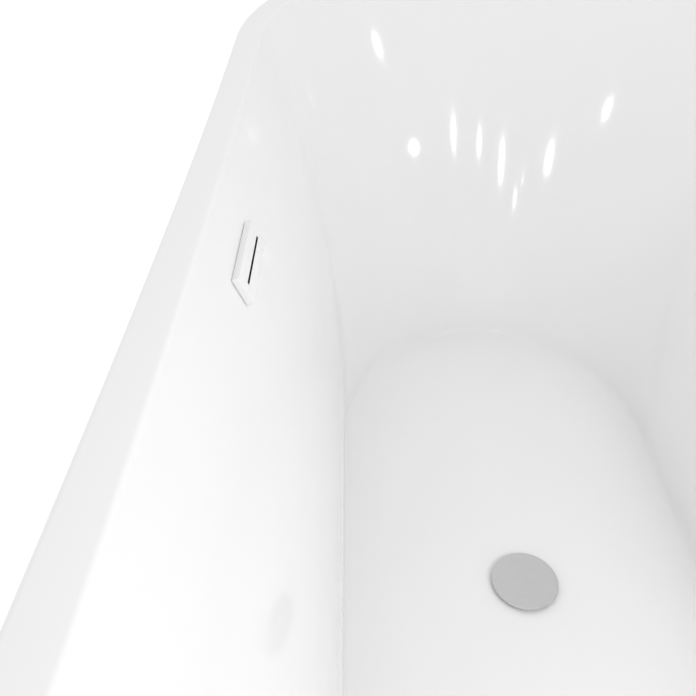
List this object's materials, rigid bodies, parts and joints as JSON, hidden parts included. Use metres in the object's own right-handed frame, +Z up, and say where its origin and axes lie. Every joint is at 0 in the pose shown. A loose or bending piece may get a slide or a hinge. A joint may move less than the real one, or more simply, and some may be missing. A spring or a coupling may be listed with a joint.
{
  "type": "freestanding bathtub",
  "caption": "Oval double-skin freestanding bath with a flat rim that rises towards the ends, a centre click-clack waste and a slotted side overflow on a steel frame with levelling feet.",
  "frame": {"origin": "on the ground, under the middle of the bath", "axes": "+Y along the bath's length, +Z up, the overflow on the -X side"},
  "size_m": [0.69, 1.6, 0.6542],
  "materials": {
    "acrylic": "gloss white acrylic",
    "overflow_cover": "gloss white",
    "stopper_cap": "satin grey",
    "drain_flange": "satin",
    "white_plastic": "moulded",
    "grey_plastic": "moulded",
    "hose": "ribbed flexible hose",
    "rubber": "matt black rubber",
    "foot_rubber": "matt black",
    "black_steel": "black powder coat",
    "zinc_steel": "zinc plated",
    "board": "sealed board"
  },
  "bodies": {
    "root": {"base_board": "board", "basin_shell": "acrylic", "bracket_screw_far_left": "zinc_steel", "bracket_screw_far_right": "zinc_steel", "bracket_screw_near_left": "zinc_steel", "bracket_screw_near_right": "zinc_steel", "cross_far": "black_steel", "cross_near": "black_steel", "drain_body": "grey_plastic", "drain_flange": "drain_flange", "drain_gasket": "rubber", "drain_washer": "rubber", "foot_far_left_lock_nut": "zinc_steel", "foot_far_left_top_nut": "zinc_steel", "foot_far_right_lock_nut": "zinc_steel", "foot_far_right_top_nut": "zinc_steel", "foot_near_left_lock_nut": "zinc_steel", "foot_near_left_top_nut": "zinc_steel", "foot_near_right_lock_nut": "zinc_steel", "foot_near_right_top_nut": "zinc_steel", "hose_nut_bottom": "grey_plastic", "hose_nut_top": "grey_plastic", "outer_skirt": "acrylic", "overflow_body": "grey_plastic", "overflow_cover": "overflow_cover", "overflow_gasket": "rubber", "overflow_hose": "hose", "rail_left": "black_steel", "rail_right": "black_steel", "skirt_bracket_far_left": "zinc_steel", "skirt_bracket_far_right": "zinc_steel", "skirt_bracket_near_left": "zinc_steel", "skirt_bracket_near_right": "zinc_steel", "stopper_guide": "white_plastic", "tail_nut": "grey_plastic", "waste_tail": "grey_plastic"},
    "stopper": {"stopper_cap": "stopper_cap", "stopper_seal": "rubber", "stopper_stem": "white_plastic"},
    "foot_near_left": {"foot_near_left_pad": "foot_rubber", "foot_near_left_stud": "zinc_steel"},
    "foot_near_right": {"foot_near_right_pad": "foot_rubber", "foot_near_right_stud": "zinc_steel"},
    "foot_far_left": {"foot_far_left_pad": "foot_rubber", "foot_far_left_stud": "zinc_steel"},
    "foot_far_right": {"foot_far_right_pad": "foot_rubber", "foot_far_right_stud": "zinc_steel"}
  },
  "joints": [
    {"name": "stopper_lift", "type": "slide", "parent": "root", "child": "stopper", "axis": [0, 0, 1], "range_m": [0, 0.01]},
    {"name": "foot_near_left_level", "type": "slide", "parent": "root", "child": "foot_near_left", "axis": [0, 0, -1], "range_m": [-0.008, 0.015]},
    {"name": "foot_near_right_level", "type": "slide", "parent": "root", "child": "foot_near_right", "axis": [0, 0, -1], "range_m": [-0.008, 0.015]},
    {"name": "foot_far_left_level", "type": "slide", "parent": "root", "child": "foot_far_left", "axis": [0, 0, -1], "range_m": [-0.008, 0.015]},
    {"name": "foot_far_right_level", "type": "slide", "parent": "root", "child": "foot_far_right", "axis": [0, 0, -1], "range_m": [-0.008, 0.015]}
  ]
}
